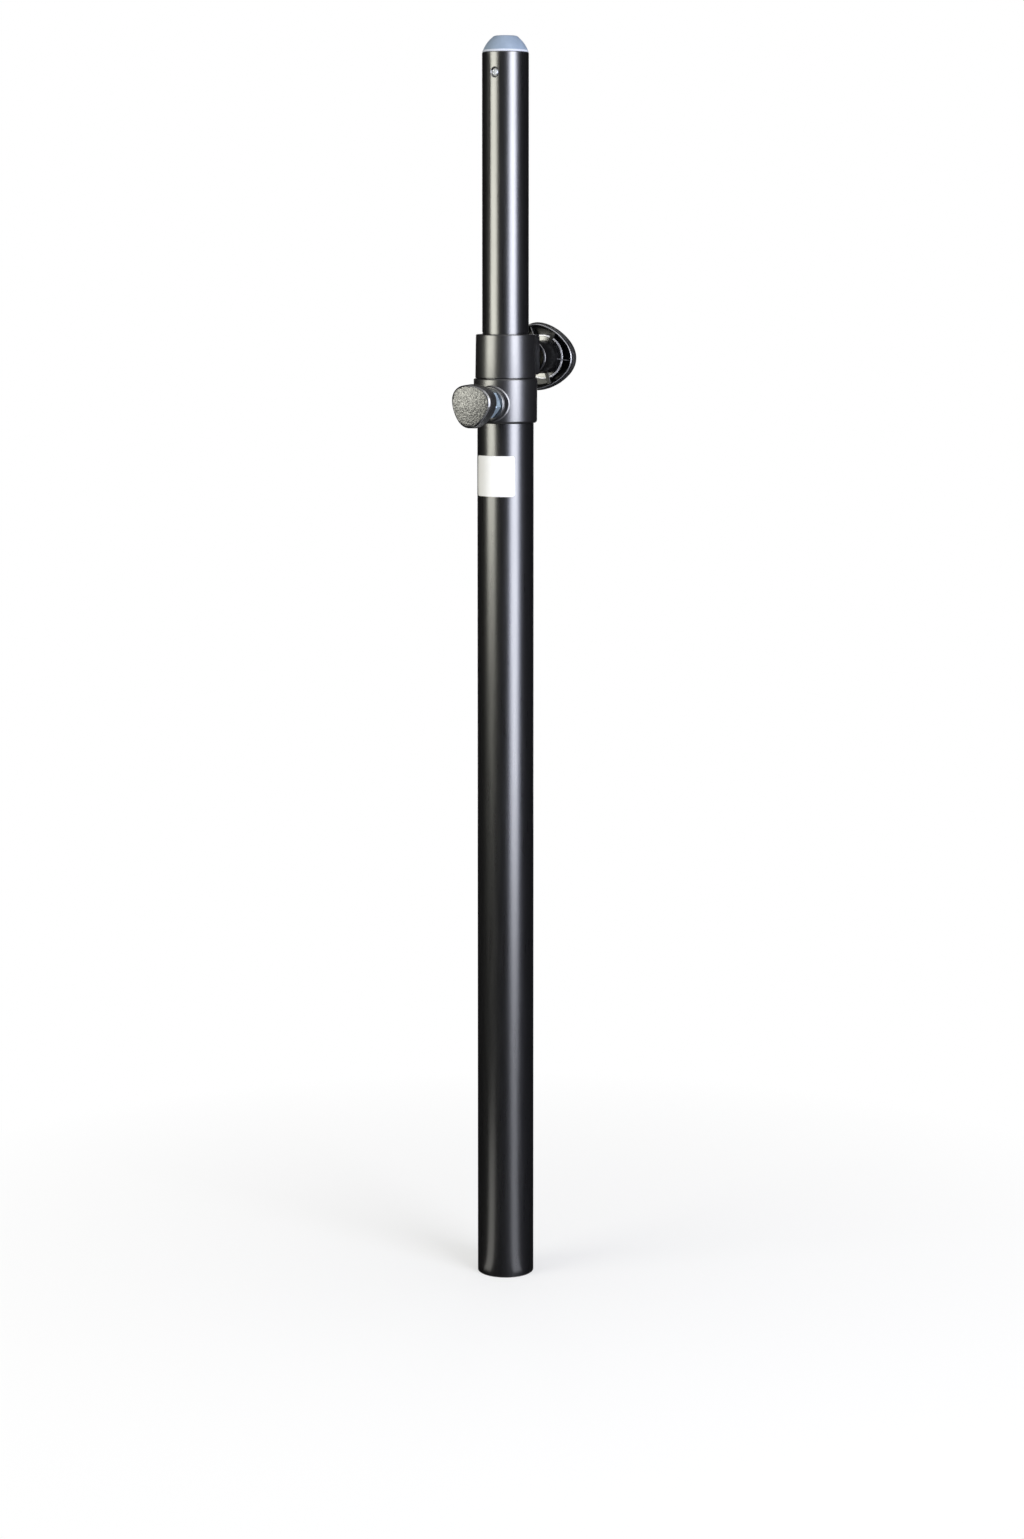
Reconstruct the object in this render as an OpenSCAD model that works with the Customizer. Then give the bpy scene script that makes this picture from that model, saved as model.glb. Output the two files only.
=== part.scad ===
// Height-adjustable pole that carries a loudspeaker above a bass cabinet.
// All sizes are in millimetres. The origin is the centre of the foot face,
// +Z is up, -Y is the front with the pull knob and +Y is the back with the clamp knob.

/* [Mast tube] */
// Outer diameter of the mast tube, which fits a loudspeaker's pole socket
mast_d = 35; // [33.5:0.5:35.5]
// Wall of the mast tube
mast_wall = 2; // [1.6:0.1:3]
// Length of the mast tube
mast_len = 800; // [700:1:900]
// Height of the mast tube's lower end above the foot face at the lowest setting
mast_rest_z = 124.6; // [80:0.1:140]
// Diameter of the index holes
index_hole_d = 8.5; // [8.3:0.1:10]
// Distance from one index hole to the next
index_pitch = 70; // [40:1:100]
// Width of the fine groove that marks the lowest setting
mark_w = 1; // [0.8:0.1:2]
// Depth of that groove
mark_depth = 0.3; // [0.2:0.05:0.6]

/* [Lower tube] */
// Wall of the lower tube
lower_wall = 2; // [1.5:0.1:3]
// Height of the clamp's top face above the foot face
clamp_top_z = 715.4; // [620:0.2:800]

/* [Foot] */
// Outer diameter of the foot thread
stud_d = 20; // [16:1:24]
// Length of the foot thread below the foot face
stud_len = 22; // [18:1:30]
// Chamfer at the end of the foot thread
stud_chamfer = 1.5; // [1:0.1:2.5]
// Length of the plug that closes the lower tube
foot_plug_len = 24; // [18:1:40]
// Thickness of the plug above the end of the stud's shank
foot_plug_end = 6; // [3:0.5:10]
// Amount by which the stud's shank is thicker than its thread, on the radius
stud_shank_step = 1; // [0.5:0.25:3]
// Width across flats of the socket in the end of the stud
stud_key_af = 10; // [8:1:11]
// Depth of that socket
stud_key_depth = 8; // [5:1:12]

/* [Clamp sleeve] */
// Height of the clamp sleeve
sleeve_h = 32.7; // [30:0.1:38]
// Wall of the sleeve round the lower tube at its top edge
sleeve_wall_top = 1; // [0.8:0.1:2.5]
// Wall of the sleeve round the lower tube at its bottom edge
sleeve_wall_low = 1.5; // [1:0.1:3]
// Thickness of the sleeve's lip that covers the end of the lower tube
sleeve_lip = 6; // [4:0.5:8]
// Width of the clamp lug
lug_w = 18.2; // [17:0.2:24]
// Reach of the lug beyond the lower tube
lug_out = 18.8; // [16:0.2:24]
// Distance of the lug's flat ends from the sleeve's edges
lug_inset = 0.7; // [0.3:0.1:1.5]
// Corner radius of the lug
lug_round = 2; // [1:0.25:4]
// Distance from the middle of the sleeve down to the clamp screw
clamp_drop = 1.95; // [0:0.05:2.5]

/* [Clamp screw] */
// Outer diameter of the clamp screw's thread
screw_d = 10; // [8:1:12]
// Pitch of the clamp screw's thread
screw_pitch = 1.5; // [1:0.25:2]
// Turns of the clamp knob from tight to slack
slack_turns = 2; // [1:1:3]
// Outer diameter of the threaded insert in the lug
insert_d = 14; // [13:0.5:15]
// Diameter of the pressure pad
pad_d = 11.8; // [8:0.2:12.2]
// Length of the pressure pad
pad_len = 6.4; // [5:0.2:7]
// Diameter of the screw's nose in the pad
nose_d = 6; // [4:0.5:7]
// Length of the screw's nose in the pad
nose_len = 2.5; // [1.5:0.25:3]
// Diameter of the head moulded into the clamp knob
screw_head_d = 15; // [13:0.5:20]
// Length of that head
screw_head_len = 8; // [5:0.5:10]

/* [Clamp knob] */
// Distance from the knob's axis to the tip of a lobe
knob_tip_r = 27.6; // [26:0.1:32]
// Distance from the knob's axis to the middle of a side
knob_side_r = 24.2; // [22.5:0.1:26]
// Depth of the knob's rim
knob_rim_h = 10; // [9:0.5:14]
// Wall of the rim
knob_wall = 2.8; // [2.2:0.1:3.4]
// Thickness of the knob's closed face
knob_face = 3; // [2:0.25:4]
// Radius of the crown of the closed face
knob_crown_r = 120; // [90:5:250]
// Diameter of the knob's hub
hub_d = 25.4; // [23:0.2:27]
// Gap between the hub and the lug when the clamp is tight
hub_gap = 2; // [1:0.25:4]
// Distance from the end of the hub to the edge of the rim
hub_stand = 16.8; // [12:0.2:20]
// Mean radius of the ring rib inside the knob
rib_ring_r = 16; // [15:0.25:18]
// Thickness of the ribs inside the knob
rib_t = 1.8; // [1.2:0.1:2.5]
// Height of the ribs inside the knob
rib_h = 3.6; // [2.4:0.2:5]
// Angle of the first lobe
knob_turn = 6; // [0:1:119]

/* [Pin collar] */
// Height of the collar that carries the locking pin
collar_h = 33.4; // [29:0.1:38]
// Wall of the collar round the lower tube at its top edge
collar_wall = 2.7; // [2:0.1:4]
// Amount by which the collar narrows towards its bottom edge
collar_draft = 0.2; // [0:0.05:0.8]
// Radius of the collar's top edge
collar_round_top = 1.1; // [0.5:0.1:1.8]
// Radius of the collar's bottom edge
collar_round_low = 2.2; // [1:0.1:2.4]
// Distance from the middle of the collar down to the locking pin
pin_drop = 1.7; // [0:0.1:2]
// Reach of the boss beyond the lower tube
boss_out = 5.8; // [5:0.1:9]
// Diameter of the end of the boss
boss_d = 24.6; // [22:0.2:26]
// Amount by which the boss widens towards the collar
boss_draft = 2.8; // [0:0.2:4]

/* [Pin housing] */
// Outer diameter of the housing's thread in the boss
housing_d = 16; // [15:0.5:18]
// Width across flats of the housing's hexagon
hex_af = 19; // [17:0.5:22]
// Length of the hexagon
hex_len = 8; // [6:0.25:10]
// Diameter of the round seat under the hexagon
hex_seat_d = 18.6; // [17:0.2:21]
// Length of the round seat under the hexagon
hex_seat_len = 1; // [0.5:0.1:2]
// Angle by which the hexagon is turned
hex_turn = -10; // [-30:1:30]
// Diameter of the spring's chamber
chamber_d = 12; // [11.6:0.1:13]

/* [Locking pin] */
// Diameter of the locking pin
pin_d = 8; // [6:0.25:8.1]
// Chamfer of the pin's nose
pin_nose = 1; // [0.5:0.1:1.5]
// Depth to which the pin drops past the rest position
pin_drop_in = 4; // [3:0.25:5]
// Travel of the pull knob beyond the rest position
pin_pull_out = 2; // [1:0.25:3]
// Outer diameter of the retaining ring on the pin
clip_d = 11; // [10:0.1:11.4]
// Thickness of the retaining ring
clip_t = 1.1; // [0.8:0.1:1.5]
// Depth of the retaining ring's groove in the pin
clip_bite = 0.8; // [0.4:0.1:1.2]
// Diameter of the spring's wire
wire_d = 0.8; // [0.6:0.05:0.9]
// Number of the spring's turns
spring_turns = 4; // [3:0.5:5]

/* [Pull knob] */
// Distance from the pull knob's axis to the tip of a lobe
pull_tip_r = 17; // [15:0.1:20]
// Distance from the pull knob's axis to the middle of a side
pull_side_r = 15; // [13:0.1:16]
// Thickness of the pull knob's head
pull_h = 11.5; // [8:0.25:13]
// Radius of the crown of the pull knob's face
pull_crown_r = 60; // [40:5:150]
// Diameter of the pull knob's neck
pull_neck_d = 13; // [11:0.25:16]
// Length of the pull knob's neck
pull_neck_len = 6.8; // [4:0.2:9]
// Thickness of the knob's face over the end of the pin
pull_skin = 3; // [2:0.25:5]
// Angle of the first lobe
pull_turn = 15; // [0:1:119]

/* [Top cap] */
// Amount by which the cap's base stands back from the mast's outer face
cap_set_in = 0.3; // [0.1:0.1:1.5]
// Height of the cap above the mast tube
cap_h = 12.4; // [11:0.1:18]
// Height of the upright edge at the cap's base
cap_edge = 1.4; // [1:0.1:3]
// Diameter of the cap's flat top
cap_top_d = 17; // [8:0.5:20]
// Width of the small step above the cap's edge
cap_step = 0.3; // [0.1:0.1:1]
// Fullness of the cap's side: 1 is a cone, more is rounder
cap_curve = 1.3; // [1:0.1:2.5]
// Length of the cap's spigot inside the mast
cap_spigot_len = 28; // [24:1:40]
// Wall of the cap
cap_wall = 2.5; // [2:0.1:4]
// Distance from the mast's top edge down to the cap screw
cap_screw_drop = 15.4; // [12:0.1:18]
// Outer diameter of the countersink round the cap screw's head
cap_recess_d = 8.2; // [7:0.1:9]
// Depth of that countersink in the mast's wall
cap_recess_depth = 1.2; // [1.1:0.1:1.5]
// Diameter of the cap screw's head
cap_head_d = 4.8; // [4.4:0.1:6.4]
// Diameter of the cap screw's shank
cap_shank_d = 3; // [2.5:0.1:3.5]
// Length by which the cap screw's shank stands out inside the cap
cap_shank_out = 3; // [1:0.5:6]
// Width of the cross slot in the cap screw's head
cap_slot_w = 0.9; // [0.6:0.1:1.2]
// Depth of that slot
cap_slot_depth = 0.7; // [0.4:0.1:0.8]

/* [Inside parts] */
// Length of the bush at the top of the lower tube
bush_len = 35.1; // [32:0.1:40]
// Wall of that bush, between the mast and the lower tube
bush_wall = 1.65; // [1.2:0.05:3]
// Length of the plug in the mast's lower end
mast_plug_len = 20; // [12:1:24]
// Length of the guide bush below the mast
guide_len = 20; // [12:1:30]
// Thickness of the flange that carries the guide bush
guide_flange = 3; // [2:0.25:5]
// Wall of the plug in the mast's lower end
mast_plug_wall = 3; // [2:0.25:6]
// Height of the ring that stops the mast at full height
stop_ring_h = 8; // [6:0.1:12]
// Distance from the mast's lower end up to the stop ring
stop_ring_up = 56.5; // [30:0.1:100]
// Diameter of the rivets of the stop ring
rivet_d = 4; // [3:0.1:4.4]

/* [Label] */
// Width of the blank label along the curve of the tube
label_w = 34; // [20:1:50]
// Height of the blank label
label_h = 30.4; // [20:0.2:50]
// Distance from the collar down to the label
label_drop = 24; // [5:0.2:60]
// Thickness of the label
label_t = 0.15; // [0.1:0.01:0.3]

/* [Fits] */
// Radial clearance of a running fit
run_gap = 0.05; // [0.02:0.01:0.1]
// Gap between free faces that don't touch
free_gap = 0.3; // [0.2:0.05:0.5]
// Thickness of the glue under the label
glue = 0.02; // [0.02:0.01:0.1]
// Small edge chamfer on turned and moulded parts
edge = 0.5; // [0.2:0.05:0.8]

/* [Hidden] */
$fn = 96;

// Extra length on a cutting shape, so that its faces never coincide with those it cuts
cut = 1;
// Overlap where two shapes of one solid join
join = 1;
// Number of steps in the curve of the cap's side
CAP_STEPS = 10;

shank_r = stud_d / 2 + stud_shank_step;
shank_len = foot_plug_len - foot_plug_end;

mast_r = mast_d / 2;
mast_bore_r = mast_r - mast_wall;
lower_bore_r = mast_r + run_gap + bush_wall;
lower_r = lower_bore_r + lower_wall;
lower_top_z = clamp_top_z - sleeve_lip;
sleeve_low_z = clamp_top_z - sleeve_h;
collar_top_z = sleeve_low_z - free_gap;
collar_low_z = collar_top_z - collar_h;
clamp_z = (clamp_top_z + sleeve_low_z) / 2 - clamp_drop;
pin_z = (collar_top_z + collar_low_z) / 2 - pin_drop;

mast_low_z = mast_rest_z;
mast_top_z = mast_low_z + mast_len;
bush_top_z = clamp_top_z - edge;
bush_low_z = bush_top_z - bush_len;
stop_low_z = mast_low_z + stop_ring_up;
stop_top_z = stop_low_z + stop_ring_h;
rivet_z = (stop_low_z + stop_top_z) / 2;
// How far the mast rises before its stop ring meets the top bush
mast_travel = bush_low_z - free_gap - stop_top_z;
// As many index holes as fit above the plug in the mast's lower end
index_room = pin_z - mast_low_z - mast_plug_len - index_hole_d;
index_count = floor(index_room / index_pitch) + 1;
echo(travel_of_the_mast = mast_travel, index_holes = index_count);
guide_r = lower_bore_r - run_gap;
spigot_r = mast_bore_r - edge;
cap_seat_r = mast_r - cap_recess_depth;

// Distances from the pole's axis along the clamp screw, all with the clamp tight
pad_start = mast_r + 2 * run_gap;
pad_end = pad_start + pad_len;
lug_end = lower_r + lug_out;
slack = slack_turns * screw_pitch;
insert_start = pad_end + slack + free_gap;
hub_start = lug_end + hub_gap;
rim_start = hub_start + hub_stand;
knob_end = rim_start + knob_rim_h;
face_start = knob_end - knob_face;

// Distances from the pole's axis along the locking pin, with the pin just clear of the mast
pin_start = mast_r + free_gap;
chamber_start = lower_r + 2 * free_gap;
boss_end = lower_r + boss_out;
hex_start = boss_end + hex_seat_len;
hex_end = hex_start + hex_len;
ring_start = chamber_start + pin_drop_in;
ring_end = ring_start + clip_t;
spring_closed = (spring_turns + 1) * wire_d;
chamber_stop = ring_end + pin_pull_out + spring_closed + free_gap;
neck_start = hex_end + pin_drop_in + free_gap;
pull_start = neck_start + pull_neck_len;
pull_end = pull_start + pull_h;
pin_r = pin_d / 2;
pin_groove_r = pin_r - clip_bite;
pin_end = pull_end - pull_skin;

// Centre line radius of the spring, between the pin and the wall of its chamber
spring_r = (pin_d + chamber_d) / 4;
spring_from = ring_end + wire_d / 2 + run_gap;
spring_to = chamber_stop - wire_d / 2 - run_gap;
spring_lead = (spring_to - spring_from) / spring_turns;
CURL_RINGS = 8;
WIRE_SIDES = 6;

// Points of an arc, from angle a to angle b
function arc_points(centre, r, a, b, steps = 6) =
    [for (i = [0:steps]) centre + r * [cos(a + (b - a) * i / steps), sin(a + (b - a) * i / steps)]];

// Points of a rounded triangle whose three lobes reach tip and whose sides come in to side
function lobed_points(tip, side, steps = 90) =
    [for (i = [0:steps - 1])
        let (a = i * 360 / steps)
        ((tip + side) / 2 + (tip - side) / 2 * cos(3 * a)) * [cos(a), sin(a)]];

// Puts its children on an axis that leaves the pole at the front, at height z
module to_front(z) {
    translate([0, 0, z]) rotate([90, 0, 0]) children();
}

// Puts its children on an axis that leaves the pole at the back, at height z
module to_back(z) {
    translate([0, 0, z]) rotate([-90, 0, 0]) children();
}

// Round bar between two distances along its axis
module bar(r, from, to) {
    translate([0, 0, from]) cylinder(r = r, h = to - from);
}

// Round bar that tapers between two distances along its axis
module cone_bar(r_from, r_to, from, to) {
    translate([0, 0, from]) cylinder(r1 = r_from, r2 = r_to, h = to - from);
}

// Hollow round bar
module ring(r_out, r_in, from, to) {
    difference() {
        bar(r_out, from, to);
        bar(r_in, from - cut, to + cut);
    }
}

// Tube with chamfered outer edges
module tube(r_out, r_in, from, to) {
    rotate_extrude()
        polygon([[r_in, from], [r_out - edge, from], [r_out, from + edge],
            [r_out, to - edge], [r_out - edge, to], [r_in, to]]);
}

// Rounded triangular slab with a crowned face
module lobed_slab(tip, side, turn, from, to, crown_r) {
    intersection() {
        translate([0, 0, from]) linear_extrude(to - from) rotate(turn) polygon(lobed_points(tip, side));
        translate([0, 0, to - crown_r]) sphere(r = crown_r);
    }
}

// Lower tube, with a hole for the locking pin and one for the pressure pad
module lower_tube() {
    color([0.10, 0.10, 0.11])
    difference() {
        tube(lower_r, lower_bore_r, 0, lower_top_z);
        to_front(pin_z) bar(pin_r + run_gap, 0, lower_r + cut);
        to_back(clamp_z) bar(pad_d / 2 + 2 * run_gap, 0, lower_r + cut);
    }
}

// Steel plug that closes the lower tube and holds the foot stud
module foot_plug() {
    color([0.55, 0.56, 0.58])
    difference() {
        bar(lower_bore_r, 0, foot_plug_len);
        bar(shank_r, -cut, shank_len);
    }
}

// Foot stud with a thicker shank that sits in the plug
module foot_stud() {
    color([0.62, 0.63, 0.66])
    difference() {
        union() {
            cone_bar(stud_d / 2 - stud_chamfer, stud_d / 2, -stud_len, stud_chamfer - stud_len);
            bar(stud_d / 2, stud_chamfer - stud_len, 0);
            bar(shank_r, 0, shank_len);
        }
        translate([0, 0, -stud_len - cut])
            cylinder(r = stud_key_af / sqrt(3), h = stud_key_depth + cut, $fn = 6);
    }
}

// Collar round the lower tube, with the boss that holds the pin housing
module pin_collar() {
    out_r = lower_r + collar_wall;
    color([0.08, 0.08, 0.09])
    difference() {
        union() {
            rotate_extrude()
                polygon(concat(
                    [[lower_r - cut, collar_low_z]],
                    arc_points([out_r - collar_draft - collar_round_low, collar_low_z + collar_round_low],
                        collar_round_low, -90, 0),
                    arc_points([out_r - collar_round_top, collar_top_z - collar_round_top],
                        collar_round_top, 0, 90),
                    [[lower_r - cut, collar_top_z]]));
            to_front(pin_z) cone_bar((boss_d + boss_draft) / 2, boss_d / 2, lower_r / 2, boss_end - edge);
            to_front(pin_z) cone_bar(boss_d / 2, boss_d / 2 - edge, boss_end - edge, boss_end);
        }
        bar(lower_r, collar_low_z - cut, collar_top_z + cut);
        to_front(pin_z) bar(housing_d / 2, 0, boss_end + cut);
    }
}

// Clamp sleeve on top of the lower tube, with the lug that holds the clamp screw
module clamp_sleeve() {
    top_r = lower_r + sleeve_wall_top;
    low_r = lower_r + sleeve_wall_low;
    lug_low = sleeve_low_z + 2 * lug_inset;
    lug_top = clamp_top_z - lug_inset;
    color([0.08, 0.08, 0.09])
    difference() {
        union() {
            rotate_extrude()
                polygon([[lower_bore_r, sleeve_low_z], [low_r - edge, sleeve_low_z],
                    [low_r, sleeve_low_z + edge], [top_r, clamp_top_z - edge],
                    [top_r - edge, clamp_top_z], [lower_bore_r, clamp_top_z]]);
            intersection() {
                translate([0, 0, lug_low]) linear_extrude(lug_top - lug_low) lug_plan();
                // Takes a little off the lug's four long edges
                to_back((lug_low + lug_top) / 2)
                    bar(norm([lug_w, lug_top - lug_low]) / 2 - edge, 0, lug_end + cut);
            }
        }
        bar(lower_r, sleeve_low_z - cut, lower_top_z);
        to_back(clamp_z) bar(pad_d / 2 + 2 * run_gap, 0, lug_end);
        to_back(clamp_z) bar(insert_d / 2, insert_start, lug_end + cut);
    }
}

// Outline of the lug from above, with two rounded corners
module lug_plan() {
    translate([-lug_w / 2, lower_r - lower_wall / 2])
        square([lug_w, lug_end - lug_round - lower_r + lower_wall / 2]);
    translate([lug_round - lug_w / 2, lower_r])
        square([lug_w - 2 * lug_round, lug_out]);
    for (side = [-1, 1])
        translate([side * (lug_w / 2 - lug_round), lug_end - lug_round]) circle(r = lug_round);
}

// Plastic bush at the top of the lower tube, in which the mast slides and turns
module top_guide_bush() {
    color([0.16, 0.16, 0.17])
    difference() {
        ring(lower_bore_r, mast_r + run_gap, bush_low_z, bush_top_z);
        to_back(clamp_z) bar(pad_d / 2 + 2 * run_gap, 0, lower_r);
    }
}

// Threaded insert of the lug
module clamp_insert() {
    color([0.72, 0.62, 0.36])
    to_back(clamp_z) ring(insert_d / 2, screw_d / 2 + run_gap, insert_start, lug_end);
}

// Zinc-plated housing of the locking pin, with its hexagon outside the boss
module pin_housing() {
    hex_tip_r = hex_af / sqrt(3);
    hex_face_r = (hex_tip_r + hex_af / 2) / 2;
    color([0.66, 0.72, 0.80])
    to_front(pin_z)
    difference() {
        union() {
            bar(housing_d / 2, chamber_start, boss_end);
            bar(hex_seat_d / 2, boss_end, hex_start);
            intersection() {
                translate([0, 0, hex_start]) rotate(hex_turn) cylinder(r = hex_tip_r, h = hex_len, $fn = 6);
                cone_bar(hex_face_r + hex_len, hex_face_r, hex_start, hex_end);
            }
        }
        bar(chamber_d / 2, chamber_start - cut, chamber_stop);
        bar(pin_r + run_gap, chamber_start, hex_end + cut);
        // Room for the curve of the lower tube
        rotate([-90, 0, 0]) translate([0, 0, -housing_d]) cylinder(r = lower_r + free_gap, h = 2 * housing_d);
    }
}

// Centre of the spring's wire at a turn t, and the spring's rings of points
function wire_centre(t) = [spring_r * cos(360 * t), spring_r * sin(360 * t), spring_from + spring_lead * t];
spring_rings = CURL_RINGS * spring_turns;
function wire_ring(t) =
    [for (k = [0:WIRE_SIDES - 1])
        let (a = 360 * k / WIRE_SIDES, reach = spring_r + wire_d / 2 * cos(a))
        [reach * cos(360 * t), reach * sin(360 * t), spring_from + spring_lead * t + wire_d / 2 * sin(a)]];
spring_points = [for (i = [0:spring_rings]) each wire_ring(i / CURL_RINGS)];
spring_faces = concat(
    [for (k = [1:WIRE_SIDES - 2]) [0, k, k + 1]],
    [for (i = [0:spring_rings - 1], k = [0:WIRE_SIDES - 1], half = [0, 1])
        let (here = i * WIRE_SIDES, there = here + WIRE_SIDES, next = (k + 1) % WIRE_SIDES)
        half == 0 ? [here + k, there + k, there + next] : [here + k, there + next, here + next]],
    [for (k = [1:WIRE_SIDES - 2])
        let (last = spring_rings * WIRE_SIDES)
        [last, last + k + 1, last + k]]);
// Least distance between points of neighbouring turns
spring_gap = min([for (i = [0:spring_rings - CURL_RINGS], j = [-1:1], a = [0:WIRE_SIDES - 1], b = [0:WIRE_SIDES - 1])
    let (other = i + CURL_RINGS + j)
    if (other <= spring_rings)
    norm(spring_points[i * WIRE_SIDES + a] - spring_points[other * WIRE_SIDES + b])]);
echo(least_gap_between_spring_turns = spring_gap);

// Spring that pushes the locking pin towards the mast
module pin_spring() {
    color([0.55, 0.56, 0.58])
    to_front(pin_z) polyhedron(points = spring_points, faces = spring_faces);
}

// Blank label on the front of the lower tube
module label() {
    half_angle = label_w / lower_r * 90 / PI;
    label_top_z = collar_low_z - label_drop;
    color([0.92, 0.92, 0.90])
    rotate(-90 - half_angle)
    rotate_extrude(angle = 2 * half_angle)
        translate([lower_r + glue, label_top_z - label_h]) square([label_t, label_h]);
}

// Bush that slides in the lower tube below the mast, and lets the mast turn
module mast_guide_bush() {
    color([0.30, 0.30, 0.32])
    ring(guide_r, spigot_r + run_gap, mast_low_z - free_gap - guide_len, mast_low_z - free_gap);
}

// Mast tube, with index holes through both walls
module mast_tube() {
    color([0.10, 0.10, 0.11])
    difference() {
        tube(mast_r, mast_bore_r, mast_low_z, mast_top_z);
        for (i = [0:index_count - 1])
            to_front(pin_z - i * index_pitch) bar(index_hole_d / 2, -mast_d, mast_d);
        ring(mast_d, mast_r - mark_depth, clamp_top_z + edge, clamp_top_z + edge + mark_w);
        to_front(mast_top_z - cap_screw_drop) cap_screw_seat();
        translate([0, 0, rivet_z]) rotate([0, 90, 0]) bar(rivet_d / 2, -mast_d, mast_d);
    }
}

// Hole and countersink of the cap screw
module cap_screw_seat() {
    seat_r = cap_head_d / 2 + free_gap;
    slope = (cap_recess_d / 2 - seat_r) / cap_recess_depth;
    bar(cap_shank_d / 2 + run_gap, 0, mast_r);
    cone_bar(seat_r, seat_r + slope * mast_wall, cap_seat_r, cap_seat_r + mast_wall);
}

// Plug in the mast's lower end, with the spigot and flange that carry the guide bush
module mast_plug() {
    spigot_low_z = mast_low_z - guide_len - 2 * free_gap;
    color([0.20, 0.20, 0.22])
    difference() {
        union() {
            bar(mast_bore_r, mast_low_z, mast_low_z + mast_plug_len);
            bar(spigot_r, spigot_low_z, mast_low_z);
            bar(guide_r - free_gap, spigot_low_z - guide_flange, spigot_low_z);
        }
        bar(spigot_r - mast_plug_wall, spigot_low_z - guide_flange - cut, mast_low_z + mast_plug_len + cut);
    }
}

// Ring on the mast that meets the top bush at full height
module stop_ring() {
    color([0.55, 0.56, 0.58])
    difference() {
        ring(lower_bore_r - free_gap, mast_r, stop_low_z, stop_top_z);
        translate([0, 0, rivet_z]) rotate([0, 90, 0]) bar(rivet_d / 2, -mast_d, mast_d);
    }
}

// Two rivets that hold the stop ring on the mast
module stop_rivets() {
    color([0.70, 0.70, 0.72])
    for (side = [0, 180])
        translate([0, 0, rivet_z]) rotate([0, 90, side])
        union() {
            bar(rivet_d / 2, mast_bore_r - edge, lower_bore_r - 2 * free_gap);
            cone_bar(rivet_d / 2, rivet_d / 2 + edge, mast_bore_r - 2 * edge, mast_bore_r - edge);
        }
}

// Plastic cap in the top of the mast
module top_cap() {
    cap_r = mast_r - cap_set_in;
    top_r = cap_top_d / 2;
    color([0.60, 0.66, 0.76])
    difference() {
        union() {
            translate([0, 0, mast_top_z]) rotate_extrude()
                polygon(concat(
                    [[0, 0], [cap_r, 0], [cap_r, cap_edge]],
                    [for (i = [0:CAP_STEPS])
                        let (t = i / CAP_STEPS)
                        [top_r + (cap_r - cap_step - top_r) * (1 - pow(t, cap_curve)),
                            cap_edge + (cap_h - cap_edge) * t]],
                    [[0, cap_h]]));
            bar(mast_bore_r, mast_top_z - cap_spigot_len, mast_top_z);
        }
        bar(mast_bore_r - cap_wall, mast_top_z - cap_spigot_len - cut, mast_top_z);
        to_front(mast_top_z - cap_screw_drop) bar(cap_shank_d / 2, 0, mast_d);
    }
}

// Screw that holds the cap, with its head in the countersink of the mast's wall
module cap_screw() {
    // The whole head stays inside the mast's round outline
    head_out = sqrt(pow(mast_r, 2) - pow(cap_head_d / 2, 2)) - run_gap;
    slot_len = cap_head_d * 2 / 3;
    color([0.75, 0.76, 0.78])
    to_front(mast_top_z - cap_screw_drop)
    difference() {
        union() {
            bar(cap_shank_d / 2, mast_bore_r - cap_wall - cap_shank_out, cap_seat_r);
            bar(cap_head_d / 2, cap_seat_r, head_out - edge);
            cone_bar(cap_head_d / 2, cap_head_d / 2 - edge, head_out - edge, head_out);
        }
        for (turn = [0, 90])
            translate([0, 0, head_out - cap_slot_depth])
            rotate(turn)
            translate([-slot_len / 2, -cap_slot_w / 2, 0])
            cube([slot_len, cap_slot_w, cap_slot_depth + cut]);
    }
}

// Pressure pad with a hollow face that grips the mast
module clamp_pad() {
    color([0.72, 0.62, 0.36])
    difference() {
        to_back(clamp_z) bar(pad_d / 2, mast_r / 2, pad_end);
        bar(pad_start, clamp_z - pad_d, clamp_z + pad_d);
        to_back(clamp_z) bar(nose_d / 2 + run_gap, pad_end - nose_len - free_gap, pad_end + cut);
    }
}

// Clamp screw, with its nose in the pad and its head moulded into the knob
module clamp_screw() {
    color([0.62, 0.63, 0.66])
    to_back(clamp_z)
    union() {
        bar(nose_d / 2, pad_end - nose_len, pad_end + free_gap);
        cone_bar(screw_d / 2 - edge, screw_d / 2, pad_end + free_gap, pad_end + free_gap + edge);
        bar(screw_d / 2, pad_end + free_gap + edge, face_start - screw_head_len);
        bar(screw_head_d / 2, face_start - screw_head_len, face_start);
    }
}

// Three-lobed clamp knob, hollow on the side that faces the pole
module clamp_knob() {
    color([0.07, 0.07, 0.08])
    to_back(clamp_z)
    difference() {
        union() {
            difference() {
                lobed_slab(knob_tip_r, knob_side_r, knob_turn, rim_start, knob_end, knob_crown_r);
                // The floor of the hollow follows the crowned face
                lobed_slab(knob_tip_r - knob_wall, knob_side_r - knob_wall, knob_turn, rim_start - cut,
                    face_start, knob_crown_r - knob_face);
            }
            cone_bar(hub_d / 2 - edge, hub_d / 2, hub_start, hub_start + edge);
            bar(hub_d / 2, hub_start + edge, face_start);
            // The ribs end halfway into the wall and the face
            intersection() {
                knob_ribs();
                lobed_slab(knob_tip_r - knob_wall / 2, knob_side_r - knob_wall / 2, knob_turn, rim_start,
                    knob_end - knob_face / 2, knob_crown_r - knob_face / 2);
            }
        }
        bar(screw_d / 2, hub_start - cut, face_start - screw_head_len);
        bar(screw_head_d / 2, face_start - screw_head_len, face_start);
    }
}

// Ring rib and three straight ribs inside the clamp knob
module knob_ribs() {
    ring(rib_ring_r + rib_t / 2, rib_ring_r - rib_t / 2, face_start - rib_h, face_start);
    for (i = [0:2])
        rotate(knob_turn + i * 120)
        translate([hub_d / 2 - join, -rib_t / 2, face_start - rib_h])
        cube([knob_tip_r, rib_t, rib_h]);
}

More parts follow.
